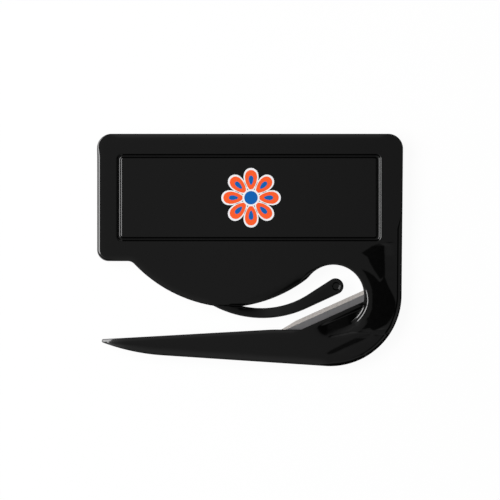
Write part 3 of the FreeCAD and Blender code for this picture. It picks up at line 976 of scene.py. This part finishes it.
def pad_print_ink(name, colour):
    """Pad-printing ink: a thin opaque film with an even satin face that hides the gloss beneath it.
    Its grain is some 0.02 mm, too fine to show, and is drawn coarse."""
    material, tree = new_material(name)
    place = add(tree, "ShaderNodeTexCoord").outputs["Object"]
    pores = add(tree, "ShaderNodeTexNoise", {"Vector": place}, Scale=per(ink_grain), Detail=2.0)
    matt = add(tree, "ShaderNodeMapRange", {"Value": pores}, To_Min=0.35, To_Max=0.5)
    shader = add(tree, "ShaderNodeBsdfPrincipled", {"Roughness": matt},
                 Base_Color=sRGB(colour), Specular_IOR_Level=0.12)
    add(tree, "ShaderNodeOutputMaterial", {"Surface": shader})
    return material


PLASTIC = black_polystyrene()
STEEL = ground_steel("hardened_steel_strip", "#b9b8ba", 0.3)
BEVEL = ground_steel("ground_steel_bevel", "#cfc9c4", 0.36)
INK_WHITE = pad_print_ink("white_pad_print_ink", "#e6e6e8")
INK_ORANGE = pad_print_ink("orange_pad_print_ink", "#f05a28")
INK_BLUE = pad_print_ink("blue_pad_print_ink", "#0a5ca8")


def finish_piece(piece, slot, *materials):
    for material in materials:
        piece.data.materials.append(material)
    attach(piece, "root")


# ======== the pieces ========
front_half = shell_piece("front_half", True)
finish_piece(front_half, "moulded_plastic", PLASTIC)
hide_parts("front_shell")
back_half = shell_piece("back_half", False)
finish_piece(back_half, "moulded_plastic", PLASTIC)
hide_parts("back_shell")


def blade_piece():
    half = blade_thickness / 2
    shoulder = edge_across - blade_bevel
    kink = blade_left + blade_corner_run
    body = ((blade_left, spine_across), (blade_right, spine_across), (blade_right, shoulder),
            (kink, shoulder), (blade_left, shoulder))
    edge = ((blade_left, edge_across - blade_corner_drop), (kink, edge_across), (blade_right, edge_across))
    verts, faces = [], []
    for sign in (1, -1):
        base = len(verts)
        for places, level in ((body, half), (edge, edge_land)):
            verts += [(*from_throat(*place), PARTING + sign * level) for place in places]
        for face in ((0, 1, 2, 3, 4), (4, 3, 6, 5), (3, 2, 7, 6)):
            faces.append(tuple(base + k for k in face[::sign]))
    around = [0, 1, 2, 7, 6, 5, 4]
    for a, b in zip(around, around[1:] + around[:1]):
        faces.append((b, a, a + 8, b + 8))
    piece = mesh_piece("steel_blade", verts, faces, smooth=False)
    for index in (1, 2, 4, 5):
        piece.data.polygons[index].material_index = 1
    return piece


steel_blade = blade_piece()
finish_piece(steel_blade, "ground_steel", STEEL, BEVEL)
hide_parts("blade")


# ======== rosette print: one petal repeated round a ring ========
rosette_centre = (0.35, 17.9)
ink_level = FACE - panel_sink
ink_lift = 0.001
ink_film = 0.006
petal_count = 8
petal_foot = 0.55
petal_points = 28
disc_points = 48


def petal_tree():
    """Repeats the mesh given to it round a ring and sets its material."""
    tree = bpy.data.node_groups.new("petals_round_a_ring", "GeometryNodeTree")
    for name, kind in (("Petal", "Geometry"), ("Count", "Int"), ("Ring radius", "Float"),
                       ("Centre", "Vector"), ("Ink", "Material")):
        tree.interface.new_socket(name=name, in_out="INPUT", socket_type="NodeSocket" + kind)
    tree.interface.new_socket(name="Print", in_out="OUTPUT", socket_type="NodeSocketGeometry")
    given = add(tree, "NodeGroupInput").outputs
    circle = add(tree, "GeometryNodeMeshCircle",
                 {"Vertices": given["Count"], "Radius": given["Ring radius"]})
    points = add(tree, "GeometryNodeMeshToPoints", {"Mesh": circle})
    place = add(tree, "GeometryNodeInputPosition")
    turn = add(tree, "FunctionNodeAlignEulerToVector", {"Vector": place}, axis="X")
    petals = add(tree, "GeometryNodeInstanceOnPoints",
                 {"Points": points, "Instance": given["Petal"], "Rotation": turn})
    real = add(tree, "GeometryNodeRealizeInstances", {"Geometry": petals})
    moved = add(tree, "GeometryNodeTransform", {"Geometry": real, "Translation": given["Centre"]})
    inked = add(tree, "GeometryNodeSetMaterial", {"Geometry": moved, "Material": given["Ink"]})
    add(tree, "NodeGroupOutput", {"Print": inked})
    return tree


PETALS = petal_tree()


def prism(outline, layer):
    """Closed film over an outline, thicker with each layer of ink."""
    count = len(outline)
    foot = ink_level + ink_lift
    verts = [(x, y, z) for z in (foot, foot + ink_film * layer) for x, y in outline]
    faces = [tuple(range(count - 1, -1, -1)), tuple(range(count, 2 * count))]
    faces += [(k, (k + 1) % count, count + (k + 1) % count, count + k) for k in range(count)]
    return verts, faces


def petal_outline(length, width):
    """Leaf shape along X from its foot at the origin, fuller toward its tip."""
    outline = []
    for turn in np.linspace(0, 2 * math.pi, petal_points, endpoint=False):
        along = (1 - math.cos(turn)) / 2
        full = petal_foot + (1 - petal_foot) * along
        outline.append((along * length, width / 2 * math.sin(turn) * full))
    return outline


def print_petals(name, ink, layer, from_centre, length, width):
    seed = mesh_piece(name + "_seed", *prism(petal_outline(length, width), layer), smooth=False)
    modifier = seed.modifiers.new("ring", "NODES")
    modifier.node_group = PETALS
    values = {"Count": petal_count, "Ring radius": from_centre * MM,
              "Centre": (rosette_centre[0] * MM, rosette_centre[1] * MM, 0), "Ink": ink}
    for item in PETALS.interface.items_tree:
        if item.in_out == "INPUT" and item.name in values:
            modifier[item.identifier] = values[item.name]
    evaluated = seed.evaluated_get(bpy.context.evaluated_depsgraph_get())
    mesh = bpy.data.meshes.new_from_object(evaluated)
    bpy.data.objects.remove(seed)
    finish_piece(link_object(name, mesh), "print_ink")


print_petals("rosette_petal_keyline", INK_WHITE, layer=1, from_centre=2.2, length=8.0, width=6.4)
print_petals("rosette_petals", INK_ORANGE, layer=2, from_centre=2.7, length=6.8, width=5.2)
print_petals("rosette_petal_hearts", INK_BLUE, layer=3, from_centre=4.4, length=3.2, width=2.0)


def print_disc(name, ink, layer, radius):
    outline = [polar(rosette_centre, radius, 360 * k / disc_points) for k in range(disc_points)]
    finish_piece(mesh_piece(name, *prism(outline, layer), smooth=False), "print_ink", ink)


print_disc("rosette_eye_keyline", INK_WHITE, layer=4, radius=2.9)
print_disc("rosette_eye", INK_BLUE, layer=5, radius=2.3)


# ======== floor, light and camera: metres from here on ========
# The room overhead, by how far a direction leans, as run over rise: the paper ceiling across and along,
# two pale cards along, how far across those reach, and the dark doorway to the right.
lean_span = 2.0
CEILING = ((-2.0, 2.2), (-1.6, 0.7), (-0.6, 0.7), (-0.38, 0.38), (-0.2, 0.23), (-0.06, 0.205), (0.0, 0.205),
           (0.02, 0.19), (0.035, 0.162), (0.4, 0.16), (0.55, 0.2), (1.2, 0.2), (2.0, 0.03))
CARDS = ((-2.0, 0.1), (-0.85, 0.15), (-0.68, 0.6), (-0.55, 1.5), (-0.4, 1.7), (-0.24, 1.35), (-0.1, 1.0),
         (0.0, 1.0), (0.25, 1.05), (0.42, 2.0), (0.52, 2.0), (0.68, 0.3), (2.0, 0.06))
DOORWAY = ((-2.0, 0.0), (0.062, 0.0), (0.088, 0.95), (0.4, 0.95), (0.55, 0.0), (2.0, 0.0))
DOORWAY_ALONG = ((-2.0, 0.0), (-0.32, 0.0), (-0.16, 1.0), (0.3, 1.0), (0.5, 0.0), (2.0, 0.0))

floor_reach = 6.0
floor_gap = 0.0001
floor_glow = 0.95
view_width = 0.1712
camera_distance = 1.43


def paper_floor():
    """Pale paper that the camera and reflections see as nearly even white, its shadow kept."""
    corners = [(x, y, -floor_gap) for x, y in ((-floor_reach, -floor_reach), (floor_reach, -floor_reach),
                                               (floor_reach, floor_reach), (-floor_reach, floor_reach))]
    mesh = bpy.data.meshes.new("floor")
    mesh.from_pydata(corners, [], [(0, 1, 2, 3)])
    material, tree = new_material("white_sweep")
    path = add(tree, "ShaderNodeLightPath").outputs
    seen = path["Is Camera Ray"]
    for ray in ("Is Glossy Ray", "Is Transmission Ray"):
        seen = add(tree, "ShaderNodeMath", {0: seen, 1: path[ray]}, operation="MAXIMUM")
    share = add(tree, "ShaderNodeMath", {0: seen, 1: floor_glow}, operation="MULTIPLY")
    paper = add(tree, "ShaderNodeBsdfDiffuse", Color=sRGB("#f2f2f2"))
    glow = add(tree, "ShaderNodeEmission", Color=(1, 1, 1, 1), Strength=1.0)
    mixed = add(tree, "ShaderNodeMixShader", {0: share, 1: paper, 2: glow})
    add(tree, "ShaderNodeOutputMaterial", {"Surface": mixed})
    mesh.materials.append(material)
    link_object("floor", mesh)


def studio():
    """The room as reflections see it; the camera sees plain white."""
    world = bpy.data.worlds.new("studio")
    bpy.context.scene.world = world
    world.use_nodes = True
    tree = world.node_tree
    tree.nodes.clear()
    place = add(tree, "ShaderNodeTexCoord").outputs["Generated"]
    parts = add(tree, "ShaderNodeSeparateXYZ", {"Vector": place}).outputs
    leans = []
    for axis in "XY":
        ratio = add(tree, "ShaderNodeMath", {0: parts[axis], 1: parts["Z"]}, operation="DIVIDE")
        leans.append(add(tree, "ShaderNodeMapRange", {"Value": ratio},
                         From_Min=-lean_span, From_Max=lean_span))
    across, along = leans
    ramps = []
    for lean, stops in ((across, CEILING), (along, CARDS), (across, DOORWAY), (along, DOORWAY_ALONG)):
        ramp = add(tree, "ShaderNodeValToRGB", {"Fac": lean})
        elements = ramp.color_ramp.elements
        while len(elements) < len(stops):
            elements.new(0.5)
        for element, (where, _) in zip(elements, stops):
            element.position = 0.5 + where / (2 * lean_span)
        for element, (_, value) in zip(elements, stops):
            element.color = (value, value, value, 1)
        ramps.append(ramp)
    lit, door = (add(tree, "ShaderNodeVectorMath", {0: first, 1: second}, operation="MULTIPLY")
                 for first, second in (ramps[:2], ramps[2:]))
    past_door = add(tree, "ShaderNodeVectorMath", {0: (1, 1, 1), 1: door}, operation="SUBTRACT")
    level = add(tree, "ShaderNodeVectorMath", {0: lit, 1: past_door}, operation="MULTIPLY")
    room = add(tree, "ShaderNodeBackground", {"Color": level}, Strength=1.0)
    backdrop = add(tree, "ShaderNodeBackground", Color=(1, 1, 1, 1), Strength=1.0)
    path = add(tree, "ShaderNodeLightPath")
    sky = add(tree, "ShaderNodeMixShader", {0: path.outputs["Is Camera Ray"], 1: room, 2: backdrop})
    add(tree, "ShaderNodeOutputWorld", {"Surface": sky})


def softbox(name, place, width, depth, radiance):
    lamp = bpy.data.lights.new(name, "AREA")
    lamp.shape = "RECTANGLE"
    lamp.size = width
    lamp.size_y = depth
    lamp.energy = radiance * math.pi * width * depth
    light = link_object(name, lamp)
    light.location = place
    light.rotation_euler = (-Vector(place)).to_track_quat("-Z", "Y").to_euler()
    light.visible_camera = False


paper_floor()
studio()
softbox("left_softbox", place=(-0.72, 0.19, 0.72), width=1.0, depth=0.6, radiance=7.7)

camera = link_object("camera", bpy.data.cameras.new("camera"))
camera.data.lens = 36.0 * camera_distance / view_width
camera.data.clip_end = 20
camera.location = (0, 0, FACE * MM + camera_distance)
bpy.context.scene.camera = camera
bpy.context.scene.view_settings.view_transform = "Standard"
